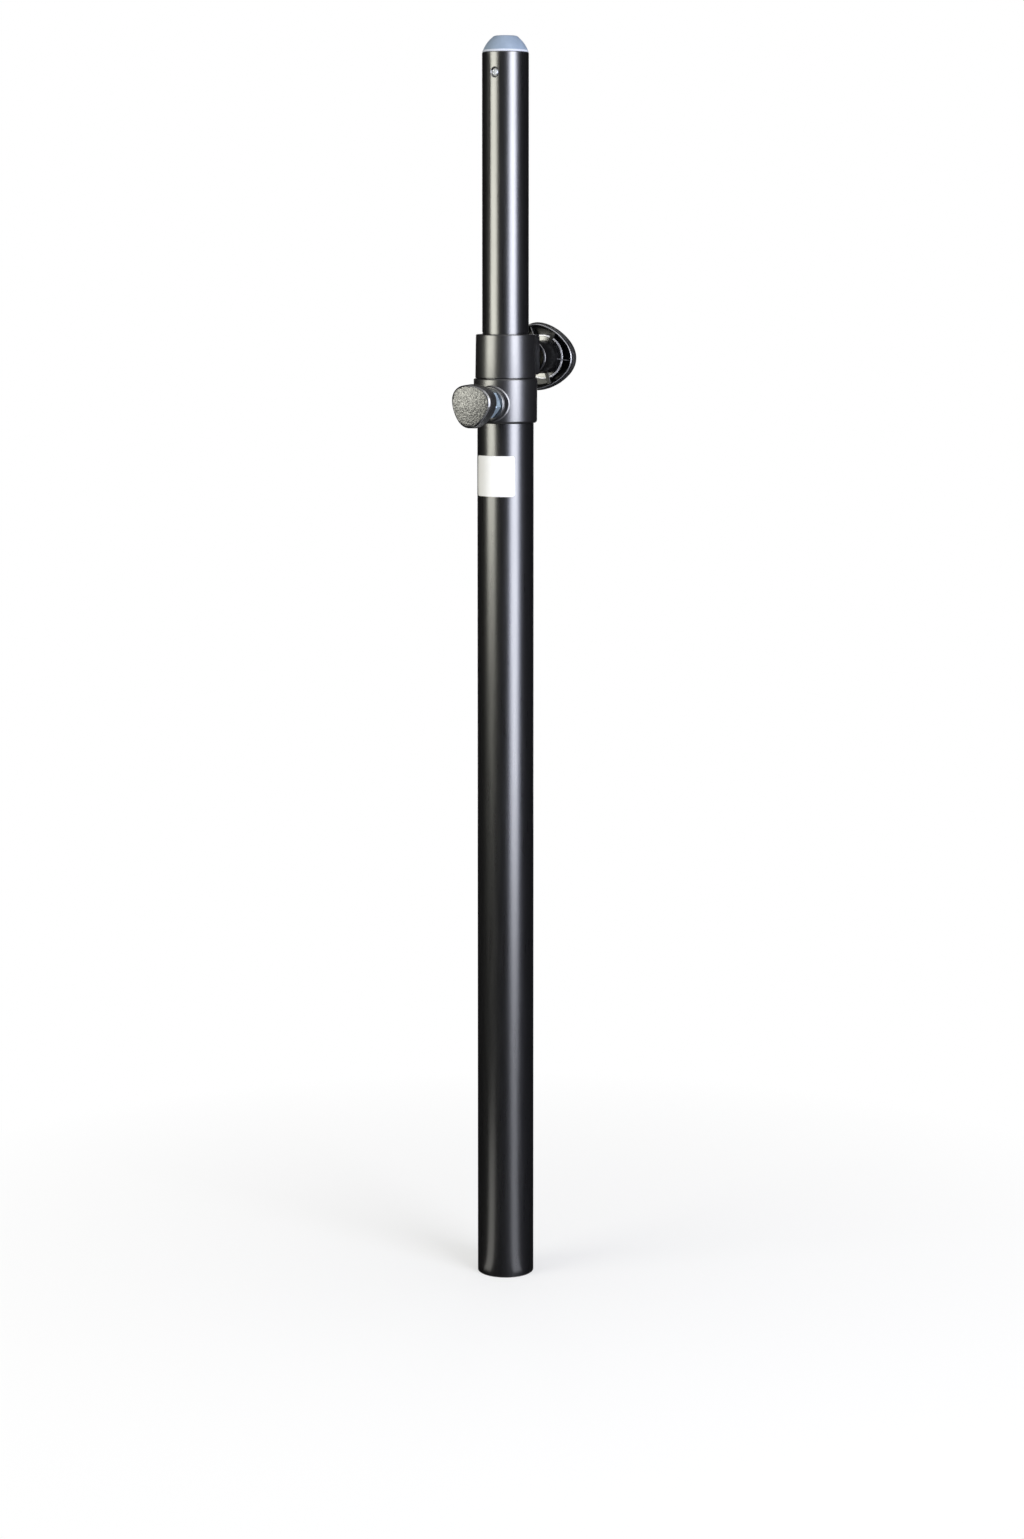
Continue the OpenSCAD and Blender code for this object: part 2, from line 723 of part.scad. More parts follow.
// Locking pin with a groove for its retaining ring
module locking_pin() {
    color([0.62, 0.63, 0.66])
    to_front(pin_z)
    difference() {
        union() {
            cone_bar(pin_r - pin_nose, pin_r, pin_start, pin_start + pin_nose);
            bar(pin_r, pin_start + pin_nose, pin_end);
        }
        ring(pin_d, pin_groove_r, ring_start, ring_end);
    }
}

// Retaining ring on the pin, which carries the spring
module pin_ring() {
    color([0.30, 0.30, 0.32])
    to_front(pin_z)
    translate([0, 0, ring_start])
    rotate(120)
    rotate_extrude(angle = 300)
        translate([pin_groove_r, 0]) square([clip_d / 2 - pin_groove_r, clip_t]);
}

// Pull knob moulded onto the locking pin
module pull_knob() {
    color([0.13, 0.13, 0.14])
    to_front(pin_z)
    difference() {
        union() {
            lobed_slab(pull_tip_r, pull_side_r, pull_turn, pull_start, pull_end, pull_crown_r);
            cone_bar(pull_neck_d / 2 - edge, pull_neck_d / 2, neck_start, neck_start + edge);
            bar(pull_neck_d / 2, neck_start + edge, pull_start + join);
        }
        bar(pin_r, neck_start - cut, pin_end);
    }
}

lower_tube();
foot_plug();
foot_stud();
pin_collar();
clamp_sleeve();
top_guide_bush();
clamp_insert();
pin_housing();
pin_spring();
label();
mast_guide_bush();
mast_tube();
mast_plug();
stop_ring();
stop_rivets();
top_cap();
cap_screw();
clamp_pad();
clamp_screw();
clamp_knob();
locking_pin();
pin_ring();
pull_knob();
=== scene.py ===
import math

import bmesh
import bpy
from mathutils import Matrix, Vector


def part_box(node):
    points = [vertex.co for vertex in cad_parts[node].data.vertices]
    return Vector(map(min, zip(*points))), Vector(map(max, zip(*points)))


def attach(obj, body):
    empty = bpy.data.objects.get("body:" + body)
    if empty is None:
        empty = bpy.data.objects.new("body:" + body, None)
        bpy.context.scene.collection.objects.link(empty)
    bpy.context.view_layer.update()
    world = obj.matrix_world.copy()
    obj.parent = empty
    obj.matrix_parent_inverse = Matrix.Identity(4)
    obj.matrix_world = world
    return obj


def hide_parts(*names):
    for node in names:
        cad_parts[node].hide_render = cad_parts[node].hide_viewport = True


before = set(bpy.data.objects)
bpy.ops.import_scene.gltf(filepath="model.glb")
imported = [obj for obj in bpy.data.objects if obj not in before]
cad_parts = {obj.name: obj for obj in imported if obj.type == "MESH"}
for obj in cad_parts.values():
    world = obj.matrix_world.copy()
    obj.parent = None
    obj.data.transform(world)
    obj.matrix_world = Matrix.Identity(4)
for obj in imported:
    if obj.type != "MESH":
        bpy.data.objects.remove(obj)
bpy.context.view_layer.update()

SCENE = bpy.context.scene
MM = 0.001
TURN = 2 * math.pi
SIXTH = math.radians(60)
HALF_SIXTH = math.radians(30)


# Sizes that are read from the frame, in millimetres

def low_mm(node):
    """Least x, y and z of a CAD node."""
    return [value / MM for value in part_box(node)[0]]


def high_mm(node):
    """Greatest x, y and z of a CAD node."""
    return [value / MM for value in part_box(node)[1]]


def middle_z(node):
    return (low_mm(node)[2] + high_mm(node)[2]) / 2


LOWER_R = high_mm("lower_tube")[0]
MAST_R = high_mm("mast_tube")[0]
MAST_TOP = high_mm("mast_tube")[2]
CLAMP_Z = middle_z("clamp_screw")
PIN_Z = middle_z("locking_pin")
HUB_START = low_mm("clamp_knob")[1]
TUBE_GAP = 0.02             # keeps bores and the label clear of the lower tube's wall


# Mesh making

def at_front(z0):
    """Local +Z leaves the pole at the front, at height z0."""
    return lambda x, y, z: (x * MM, -z * MM, (z0 + y) * MM)


def at_back(z0):
    """Local +Z leaves the pole at the back, at height z0."""
    return lambda x, y, z: (x * MM, z * MM, (z0 - y) * MM)


def upright(x, y, z):
    """Local axes are the pole's own."""
    return (x * MM, y * MM, z * MM)


def angles(count):
    return [TURN * i / count for i in range(count)]


def circle(radius, z, count):
    return [(radius * math.cos(a), radius * math.sin(a), z) for a in angles(count)]


def round_loops(path, count):
    """Circles along a path of (radius, height)."""
    return [circle(r, z, count) for r, z in path]


def quarter(steps):
    """Angles along a quarter of a turn, both ends included."""
    return [math.radians(90 * k / steps) for k in range(steps + 1)]


def from_sixth(a):
    """Angle from the nearest sixth of a turn."""
    return (a + HALF_SIXTH) % SIXTH - HALF_SIXTH


def fillet(corners, steps, closed=False):
    """Path through corners (a, b, radius), each rounded to its radius in a number of steps."""
    path = []
    count = len(corners)
    for i, (a, b, radius) in enumerate(corners):
        if radius == 0 or (not closed and i in (0, count - 1)):
            path.append((a, b))
            continue
        here = Vector((a, b))
        before = Vector(corners[i - 1][:2]) - here
        after = Vector(corners[(i + 1) % count][:2]) - here
        before.normalize()
        after.normalize()
        half = before.angle(after) / 2
        reach = radius / math.tan(half)
        centre = here + (before + after).normalized() * (radius / math.sin(half))
        start = here + before * reach - centre
        end = here + after * reach - centre
        sweep = start.angle_signed(end)
        for k in range(steps + 1):
            turn = -sweep * k / steps
            spot = Vector((start.x * math.cos(turn) - start.y * math.sin(turn),
                           start.x * math.sin(turn) + start.y * math.cos(turn)))
            path.append(tuple(centre + spot))
    return path


def loft(bm, loops, place, closed=False):
    """Skin over loops of equal length, closed by a face at each end or onto itself.

    Returns the bands of faces between the loops."""
    rings = [[bm.verts.new(place(*p)) for p in loop] for loop in loops]
    count = len(rings[0])
    pairs = list(zip(rings, rings[1:]))
    if closed:
        pairs.append((rings[-1], rings[0]))
    bands = []
    for one, two in pairs:
        bands.append([bm.faces.new((one[k], one[(k + 1) % count], two[(k + 1) % count], two[k]))
                      for k in range(count)])
    if not closed:
        bm.faces.new(rings[0])
        bm.faces.new(rings[-1])
    return bands


def lathe(bm, path, place, count):
    """Turned ring from a closed path of (radius, height)."""
    loft(bm, round_loops(path, count), place, closed=True)


def paint(bands, look):
    """Gives all faces of the bands one of the piece's materials, by its number."""
    for band in bands:
        for face in band:
            face.material_index = look


def linked(name, data):
    """New object in the scene."""
    obj = bpy.data.objects.new(name, data)
    SCENE.collection.objects.link(obj)
    return obj


def finish_piece(name, bm, body, materials, nodes, sharp=35):
    """Turns a bmesh into a piece that rides on a body, smooth but for edges past an angle."""
    bmesh.ops.recalc_face_normals(bm, faces=bm.faces)
    for face in bm.faces:
        face.smooth = True
    for edge in bm.edges:
        if len(edge.link_faces) == 2 and edge.calc_face_angle(0) > math.radians(sharp):
            edge.smooth = False
    mesh = bpy.data.meshes.new(name)
    bm.to_mesh(mesh)
    bm.free()
    piece = linked(name, mesh)
    for material in materials:
        mesh.materials.append(material)
    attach(piece, body)
    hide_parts(*nodes)


# Materials

NOISE_RANGE = (0.3, 0.7)    # where nearly all values of a noise lie
SPOT_RANGE = (0.32, 0.68)   # the same for the speckle, a little sharper
FINE_GLOSS = 4              # uneven gloss is this much finer than the tone
PIT_SIZE = 1.6              # pits are this much larger than the grain


class Nodes:
    """Small helper that adds linked shader nodes."""

    def __init__(self, tree):
        self.tree = tree
        tree.nodes.clear()

    def add(self, kind, **inputs):
        node = self.tree.nodes.new(kind)
        for key, value in inputs.items():
            self.feed(node, key.replace("_", " "), value)
        return node

    def feed(self, node, key, value):
        socket = node.inputs[key]
        if isinstance(value, bpy.types.NodeSocket):
            self.tree.links.new(value, socket)
        else:
            socket.default_value = value

    def ranged(self, value, given, wanted):
        """Maps a value from one (least, greatest) to another."""
        return self.add("ShaderNodeMapRange", Value=value, From_Min=given[0], From_Max=given[1],
                        To_Min=wanted[0], To_Max=wanted[1]).outputs[0]

    def noise(self, place, scale, detail, roughness):
        return self.add("ShaderNodeTexNoise", Vector=place, Scale=scale, Detail=detail,
                        Roughness=roughness).outputs[0]

    def direct_ray(self):
        """1 for rays from the camera, from gloss and through glass, and 0 for other light."""
        path = self.add("ShaderNodeLightPath")
        total = path.outputs["Is Camera Ray"]
        for ray in ("Is Glossy Ray", "Is Transmission Ray"):
            either = self.add("ShaderNodeMath")
            either.use_clamp = True
            self.feed(either, 0, total)
            self.feed(either, 1, path.outputs[ray])
            total = either.outputs[0]
        return total


def empty_material(name):
    """New material and the helper for its nodes."""
    material = bpy.data.materials.new(name)
    material.use_nodes = True
    return material, Nodes(material.node_tree)


def per_metre(size):
    """Scale of a texture whose forms have this size in millimetres."""
    return 1000 / size


def coat(name, colour, roughness, metallic=0.0, ior=1.5, level=0.5, spread=0.04, tone=0.15,
         tone_size=12.0, stretch=(1, 1, 1), grain_size=0.4, grain=0.05, pits=0.0, speckle=None):
    """Surface with cloudy tone, uneven gloss and a fine grain. Sizes are in millimetres.

    speckle is a size with the least and the greatest reflection of its spots, and takes the
    place of level."""
    material, n = empty_material(name)
    shader = n.add("ShaderNodeBsdfPrincipled", Metallic=metallic, IOR=ior)
    n.add("ShaderNodeOutputMaterial", Surface=shader.outputs[0])
    place = n.add("ShaderNodeTexCoord").outputs["Object"]
    stretched = n.add("ShaderNodeMapping", Vector=place, Scale=stretch).outputs[0]

    cloud = n.noise(stretched, per_metre(tone_size), detail=6.0, roughness=0.6)
    ramp = n.add("ShaderNodeValToRGB", Fac=cloud)
    for stop, position, change in zip(ramp.color_ramp.elements, NOISE_RANGE, (1 - tone, 1 + tone)):
        stop.position = position
        stop.color = [min(1, c * change) for c in colour] + [1]
    n.feed(shader, "Base Color", ramp.outputs[0])

    fine = n.noise(stretched, FINE_GLOSS * per_metre(tone_size), detail=4.0, roughness=0.55)
    n.feed(shader, "Roughness",
           n.ranged(fine, NOISE_RANGE, (roughness - spread, roughness + spread)))
    if speckle:
        size, *reflection = speckle
        spots = n.noise(place, per_metre(size), detail=3.0, roughness=0.7)
        level = n.ranged(spots, SPOT_RANGE, reflection)
    n.feed(shader, "Specular IOR Level", level)

    height = n.noise(place, per_metre(grain_size), detail=3.0, roughness=0.6)
    if pits:
        cells = n.add("ShaderNodeTexVoronoi", Vector=place,
                      Scale=per_metre(grain_size * PIT_SIZE)).outputs["Distance"]
        pitted = n.add("ShaderNodeMath")
        pitted.operation = "MULTIPLY_ADD"
        for i, value in enumerate((cells, pits, height)):
            n.feed(pitted, i, value)
        height = pitted.outputs[0]
    bump = n.add("ShaderNodeBump", Strength=grain, Distance=grain_size * MM, Height=height)
    n.feed(shader, "Normal", bump.outputs[0])
    return material


black_steel = coat("black_coat", (0.004, 0.004, 0.005), 0.29, ior=1.8, level=1.0, spread=0.02,
                   tone=0.25, tone_size=9, stretch=(1, 1, 0.05), grain_size=0.35, grain=0.02)
black_casting = coat("casting_coat", (0.008, 0.008, 0.009), 0.33, ior=1.8, level=1.0, spread=0.02,
                     tone=0.2, tone_size=7, grain_size=0.5, grain=0.01)
screw_zinc = coat("screw_zinc", (0.42, 0.44, 0.48), 0.42, metallic=0.6, spread=0.06, tone=0.15,
                  tone_size=2, grain_size=0.3, grain=0.05)
bare_steel = coat("turned_steel", (0.50, 0.51, 0.53), 0.32, metallic=1.0, spread=0.08, tone=0.12,
                  tone_size=3, stretch=(1, 1, 12), grain_size=0.3, grain=0.05)
zinc = coat("blue_zinc", (0.62, 0.78, 0.95), 0.32, metallic=0.65, spread=0.07, tone=0.12,
            tone_size=4, grain_size=0.3, grain=0.05)
brass = coat("turned_brass", (0.72, 0.52, 0.22), 0.30, metallic=1.0, spread=0.07, tone=0.1,
             tone_size=3, grain_size=0.3, grain=0.05)
aluminium = coat("rivet_aluminium", (0.66, 0.67, 0.68), 0.38, metallic=1.0, spread=0.06,
                 tone=0.08, tone_size=2, grain_size=0.3, grain=0.05)
guide_plastic = coat("guide_plastic", (0.030, 0.030, 0.033), 0.45, spread=0.05, tone=0.15,
                     tone_size=6, grain_size=0.4, grain=0.06)
cap_plastic = coat("cap_plastic", (0.265, 0.335, 0.44), 0.46, spread=0.06, tone=0.05, tone_size=5,
                   grain_size=0.5, grain=0.05)
cap_lip = coat("cap_lip", (0.60, 0.64, 0.73), 0.36, spread=0.04, tone=0.05, tone_size=5,
               grain_size=0.5, grain=0.04)
knob_grain = coat("grained_knob", (0.016, 0.016, 0.016), 0.38, ior=2.3, spread=0.10, tone=0.4,
                  tone_size=5, grain_size=1.3, grain=0.25, pits=0.4, speckle=(1.0, 0.20, 0.92))
# Painted highlight: light grey for the ring rib's crest, standing in for its bright reflections.
ring_painted_highlight = coat("ring_painted_highlight", (0.58, 0.58, 0.60), 0.25, ior=1.8, level=1.0, spread=0.03, tone=0.15,
                tone_size=4, grain_size=0.5, grain=0.02)
# Painted highlight: grey for a light line along the knob's rim.
rim_painted_highlight = coat("rim_painted_highlight", (0.16, 0.16, 0.17), 0.20, ior=1.8, level=1.0, spread=0.03, tone=0.15,
                tone_size=4, grain_size=0.5, grain=0.01)
# Painted shade: darker, duller black for the knob's hollow and its thick ribs.
knob_shade = coat("knob_shade", (0.006, 0.006, 0.006), 0.30, level=0.4, spread=0.03, tone=0.2,
                  tone_size=5, grain_size=0.5, grain=0.02)
# Painted highlight: grey for light lines along the thin ribs' crests.
thin_rib_painted_highlight = coat("thin_rib_painted_highlight", (0.20, 0.20, 0.21), 0.45, level=0.1, spread=0.03, tone=0.2,
                 tone_size=5, grain_size=0.5, grain=0.02)
knob_gloss = coat("glossy_knob", (0.006, 0.006, 0.007), 0.18, ior=1.8, level=1.0, spread=0.03,
                  tone=0.2, tone_size=5, grain_size=0.5, grain=0.01)
label_film = coat("label_film", (0.90, 0.90, 0.89), 0.42, spread=0.03, tone=0.02, tone_size=8,
                  grain_size=0.4, grain=0.03)

CAD_LOOKS = {
    "lower_tube": black_steel, "mast_tube": black_steel, "pin_collar": black_casting,
    "clamp_sleeve": black_casting, "foot_plug": bare_steel, "foot_stud": bare_steel,
    "top_guide_bush": guide_plastic, "clamp_insert": brass, "pin_housing": zinc,
    "pin_spring": bare_steel, "label": label_film, "mast_guide_bush": guide_plastic,
    "mast_plug": guide_plastic, "stop_ring": bare_steel, "stop_rivets": aluminium,
    "top_cap": cap_plastic, "cap_screw": screw_zinc, "clamp_pad": brass, "clamp_screw": zinc,
    "clamp_knob": knob_grain, "locking_pin": zinc, "pin_ring": bare_steel,
    "pull_knob": knob_grain,
}
for node_name, look in CAD_LOOKS.items():
    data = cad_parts[node_name].data
    data.materials.clear()
    data.materials.append(look)


# Knobs

# Painted light among the knob's looks: the ring, rim and thin-rib looks are painted highlights, and
# the shade look is painted shade.
KNOB_LOOKS = (knob_grain, knob_gloss, ring_painted_highlight, rim_painted_highlight, knob_shade, thin_rib_painted_highlight)
GLOSS, RING_PAINTED_HIGHLIGHT, RIM_PAINTED_HIGHLIGHT, SHADE, THIN_RIB_PAINTED_HIGHLIGHT = range(1, len(KNOB_LOOKS))
KNOB_POINTS = 180


def lobed(wave, z, scale=1, inset=0):
    """Loop with three lobes; wave holds its mean radius, two harmonics and its turn in degrees."""
    mean, third, sixth, turn_deg = wave
    turn = math.radians(turn_deg)
    loop = []
    for a in angles(KNOB_POINTS):
        reach = mean + third * math.cos(3 * (a - turn)) + sixth * math.cos(6 * (a - turn))
        reach = reach * scale - inset
        loop.append((reach * math.cos(a), reach * math.sin(a), z))
    return loop


# Clamp knob, hollow on the side of the pole. Local z is the distance from the pole's axis.
# The points of outside, rim and inside are insets from the lobed outline, with z from BACK_Z.

CLAMP_WAVE = (25.77, 1.65, 0.14, 3.4)
CLAMP_CROWN = 1.24
RIM_Z = 58.75
BACK_Z = RIM_Z + 8.6
FLOOR_Z = BACK_Z - 0.75
crown = [lobed(CLAMP_WAVE, BACK_Z + 0.2 + CLAMP_CROWN * (1 - k * k), scale=k)
         for k in (0.04, 0.3, 0.5, 0.65, 0.78, 0.86, 0.91)]
outside = [(1.7, 0.0), (1.25, -0.3), (0.85, -0.75), (0.45, -1.5), (0.12, -2.6), (0.0, -3.8),
           (0.06, -4.6), (0.4, -5.8), (0.85, -7.0), (1.1, -7.7)]
rim = [(1.16, -7.86), (1.75, -8.45), (1.9, -8.56), (2.05, -8.6), (2.2, -8.5), (2.45, -8.1),
       (2.7, -7.5)]
inside = [(2.85, -6.8), (3.1, -3.2), (3.3, -2.0), (3.9, -1.3), (5.0, -1.0)]
floor_path = [(15.5, FLOOR_Z), (14.0, FLOOR_Z), (13.2, FLOOR_Z - 0.35), (12.8, FLOOR_Z - 1.2),
              (12.7, FLOOR_Z - 6)]
hub_path = [(12.7, HUB_START + 1.2), (12.6, HUB_START + 0.6), (12.3, HUB_START + 0.2),
            (11.8, HUB_START), (10.9, HUB_START + 0.05), (10.4, HUB_START + 0.35),
            (6.4, HUB_START + 0.4), (5.5, HUB_START + 0.7), (5.05, HUB_START + 1.3),
            (5.05, HUB_START + 14)]
loops = crown + [lobed(CLAMP_WAVE, BACK_Z + z, inset=inset) for inset, z in outside + rim + inside]
loops += round_loops(floor_path + hub_path, KNOB_POINTS)
bm = bmesh.new()
bands = loft(bm, loops, at_back(CLAMP_Z))
rim_band = len(crown + outside)
gloss_band = rim_band - 2
shade_band = rim_band + len(rim) + 1
hub_band = len(loops) - len(hub_path)
paint(bands[gloss_band:], GLOSS)
# Painted shade: the inner wall, the hollow's floor and the hub's side are a darker, duller black.
paint(bands[shade_band:hub_band], SHADE)
# Painted highlight: one band of the rim is a light grey line.
paint(bands[rim_band:rim_band + 1], RIM_PAINTED_HIGHLIGHT)

RIB_FOOT = FLOOR_Z + 0.6
RING_POINTS = 128
RING_CREST = 62.4
RING_STEP = 15.7            # radius of the low step inside the ring's crest
BRIDGE_CREST = 61.9
BRIDGE_TURNS = (74.5, 187, 298)
THIN_CREST = 61.7
THIN_TURNS = (6.4, 126.4, 246.4)
TO_POLE = -0.5              # a face whose normal's y is below this looks at the pole


def bars(turns_deg, section, reaches):
    """Straight ribs between two radii, with a section of (across, z)."""
    for turn_deg in turns_deg:
        way = math.radians(turn_deg)
        loft(bm, [[(reach * math.cos(way) - across * math.sin(way),
                    reach * math.sin(way) + across * math.cos(way), z) for across, z in section]
                  for reach in reaches], at_back(CLAMP_Z))


first_ring_face = len(bm.faces)
lathe(bm, fillet([(12.6, RIB_FOOT, 0), (12.6, RING_CREST + 0.2, 0), (15.6, RING_CREST + 0.2, 0),
                  (15.8, RING_CREST, 0), (17.25, RING_CREST, 0.7), (17.4, RIB_FOOT, 0)],
                 steps=8, closed=True), at_back(CLAMP_Z), RING_POINTS)
first_bridge_face = len(bm.faces)
bars(BRIDGE_TURNS, [(-1.5, RIB_FOOT), (-1.5, BRIDGE_CREST + 0.3), (-1.2, BRIDGE_CREST),
                    (1.2, BRIDGE_CREST), (1.5, BRIDGE_CREST + 0.3), (1.5, RIB_FOOT)], (12.4, 21.4))
first_thin_face = len(bm.faces)
bars(THIN_TURNS, [(-0.5, RIB_FOOT), (-0.3, THIN_CREST), (0.3, THIN_CREST), (0.5, RIB_FOOT)],
     (12.3, 24.4))
bm.faces.ensure_lookup_table()
bm.normal_update()
for face in bm.faces[first_ring_face:]:
    if face.index < first_bridge_face:
        centre = face.calc_center_median()
        radius = math.hypot(centre.x, centre.z - CLAMP_Z * MM)
        # Ring: painted highlight on the crest outside its low step, gloss elsewhere.
        crest, side = GLOSS if radius < RING_STEP * MM else RING_PAINTED_HIGHLIGHT, GLOSS
    elif face.index < first_thin_face:
        # Thick ribs: painted shade all over.
        crest, side = SHADE, SHADE
    else:
        # Thin ribs: painted highlight on the crest, painted shade on the sides.
        crest, side = THIN_RIB_PAINTED_HIGHLIGHT, SHADE
    face.material_index = crest if face.normal.y < TO_POLE else side
finish_piece("clamp_knob_body", bm, "clamp_knob", KNOB_LOOKS, ("clamp_knob",))


# Pull knob

PULL_WAVE = (16.2, 1.1, 0.05, 20)
PULL_END = -low_mm("pull_knob")[1]
NECK_START = -high_mm("pull_knob")[1]
PULL_CROWN = 1.4
PULL_DRAFT = 0.4
HEAD_DEPTH = 11.5
BACK_ROUND = 0.3
edge_z = PULL_END - PULL_CROWN * 0.86  # where the crown meets the chamfer
back_z = PULL_END - HEAD_DEPTH
face_loops = [lobed(PULL_WAVE, PULL_END - PULL_CROWN * k * k, scale=k)
              for k in (0.04, 0.25, 0.45, 0.6, 0.72, 0.82, 0.9)]
loops = face_loops + [lobed(PULL_WAVE, edge_z - drop, inset=PULL_DRAFT + inset)
                      for inset, drop in ((1.2, 0.0), (1.05, 0.1), (0.95, 0.2), (0.2, 0.95),
                                          (0.1, 1.06), (0.0, 1.3))]
loops += [lobed(PULL_WAVE, back_z + BACK_ROUND * (1 - math.sin(a)),
                inset=BACK_ROUND * (1 - math.cos(a))) for a in quarter(6)]
loops += round_loops([(8.6, back_z), (7.4, back_z - 0.3), (6.8, back_z - 1.0), (6.5, back_z - 2.0),
                      (6.5, NECK_START + 0.5), (6.3, NECK_START + 0.15), (5.9, NECK_START),
                      (4.3, NECK_START), (4.02, NECK_START + 0.3), (4.02, PULL_END - 3)],
                     KNOB_POINTS)
bm = bmesh.new()
bands = loft(bm, loops, at_front(PIN_Z))
chamfer_band = len(face_loops) + 1
paint(bands[chamfer_band:chamfer_band + 3], GLOSS)
finish_piece("pull_knob_body", bm, "locking_pin", (knob_grain, knob_gloss),
             ("pull_knob",))


# Top cap

CAP_LIP = 1                 # number of its second material
CAP_R = MAST_R - 0.3
CAP_BORE = MAST_R - 4.5
SPIGOT_R = MAST_R - 2
cap_low_z = low_mm("top_cap")[2]
cap_top = high_mm("top_cap")[2]
crown = fillet([(0.3, cap_top, 0), (8.7, cap_top - 0.25, 3.0), (14.2, MAST_TOP + 6.9, 22.0),
                (CAP_R - 0.45, MAST_TOP + 1.6, 0)], steps=8)
lip = [(CAP_R - 0.42, MAST_TOP + 1.5), (CAP_R - 0.28, MAST_TOP + 1.4),
       (CAP_R - 0.1, MAST_TOP + 1.1), (CAP_R, MAST_TOP + 0.7), (CAP_R, MAST_TOP + 0.3),
       (CAP_R - 0.12, MAST_TOP + 0.08)]
spigot = [(CAP_R - 0.35, MAST_TOP), (SPIGOT_R, MAST_TOP), (SPIGOT_R, cap_low_z + 0.8),
          (MAST_R - 2.8, cap_low_z), (CAP_BORE, cap_low_z), (CAP_BORE, MAST_TOP - 0.5),
          (CAP_BORE - 1, MAST_TOP)]
bm = bmesh.new()
bands = loft(bm, round_loops(crown + lip + spigot, 128), upright)
paint(bands[len(crown) - 1:len(crown + lip)], CAP_LIP)
finish_piece("top_cap_body", bm, "mast", (cap_plastic, cap_lip), ("top_cap",))


# Housing of the locking pin

HOUSE_POINTS = 192
HEX_AF = 19.0
HEX_TIP = HEX_AF / math.sqrt(3)
HEX_TURN = math.radians(-10)
HEX_END = -low_mm("pin_housing")[1]
HEX_START = HEX_END - 8
HEX_CHAMFER = 1.35
CHAMFER_STEPS = 8
BOSS_END = HEX_START - 1
HOUSE_BORE = 4.05
FLANGE_R = 9.3
STEM_R = 7.9
STEM_END = BOSS_END - 5
CHAMBER_R = 6.0
CHAMBER_STOP = HEX_END - 2.8


def hexagon(z, limit):
    """Hexagon loop cut by a round limit, with the corners on points of the loop."""
    loop = []
    for a in angles(HOUSE_POINTS):
        reach = min(HEX_AF / 2 / math.cos(HALF_SIXTH - abs(from_sixth(a))), limit)
        loop.append((reach * math.cos(a + HEX_TURN), reach * math.sin(a + HEX_TURN), z))
    return loop


loops = round_loops([(HOUSE_BORE, CHAMBER_STOP), (HOUSE_BORE, HEX_END - 0.4),
                     (4.4, HEX_END - 0.05), (8.9, HEX_END)], HOUSE_POINTS)
for k in range(CHAMFER_STEPS + 1):
    drop = HEX_CHAMFER * k / CHAMFER_STEPS
    loops.append(hexagon(HEX_END - drop * 0.75, 9.55 + drop * 1.05))
loops += [hexagon(HEX_START + 0.5, HEX_TIP - 0.12), hexagon(HEX_START, HEX_TIP - 0.6)]
loops += round_loops([(FLANGE_R, HEX_START), (FLANGE_R, BOSS_END), (STEM_R, BOSS_END),
                      (STEM_R, STEM_END), (CHAMBER_R, STEM_END), (CHAMBER_R, CHAMBER_STOP)],
                     HOUSE_POINTS)
bm = bmesh.new()
loft(bm, loops, at_front(PIN_Z), closed=True)
finish_piece("pin_housing_body", bm, "pole_base", (zinc,), ("pin_housing",), sharp=22)


# Collar with its boss

SLEEVE_POINTS = 192
BOSS_POINTS = 128
BOSS_FOOT_R = 13.7
collar_low_z = low_mm("pin_collar")[2]
collar_r, _, collar_high_z = high_mm("pin_collar")


def saddle(inset, height):
    """Loop in the foot of the boss that follows the collar's curve at a height above it."""
    radius = BOSS_FOOT_R - inset
    return [(radius * math.cos(a), radius * math.sin(a),
             math.sqrt(collar_r ** 2 - (BOSS_FOOT_R * math.cos(a)) ** 2) + height)
            for a in angles(BOSS_POINTS)]


bm = bmesh.new()
lathe(bm, fillet([(LOWER_R + TUBE_GAP, collar_low_z, 0), (collar_r - 0.2, collar_low_z, 2.2),
                  (collar_r, collar_high_z, 1.1), (LOWER_R + TUBE_GAP, collar_high_z, 0)],
                 steps=8, closed=True), upright, SLEEVE_POINTS)
loops = [saddle(inset, up) for inset, up in ((0.0, -0.3), (0.0, -0.02), (0.06, 0.04), (0.74, 0.72),
                                             (0.8, 0.8), (0.82, 1.0))]
loops += round_loops([(12.6, BOSS_END - 0.8), (12.5, BOSS_END - 0.68), (12.35, BOSS_END - 0.6),
                      (12.0, BOSS_END - 0.57), (11.92, BOSS_END - 0.5), (11.48, BOSS_END - 0.06),
                      (11.4, BOSS_END), (8.5, BOSS_END), (7.95, BOSS_END - 0.5),
                      (7.95, LOWER_R - 1)], BOSS_POINTS)
loft(bm, loops, at_front(PIN_Z))
finish_piece("pin_collar_body", bm, "pole_base", (black_casting,),
             ("pin_collar",))


# Clamp sleeve with its lug

LUG_POINTS = 96
LUG_HALF = 9.1
LUG_CORNER = 2.0
LUG_ROUND = 1.2
sleeve_low_z = low_mm("clamp_sleeve")[2]
_, lug_end, sleeve_high_z = high_mm("clamp_sleeve")
lug_low_z = sleeve_low_z + 1.4
lug_high_z = sleeve_high_z - 0.7
bore_step_z = sleeve_high_z - 5.9


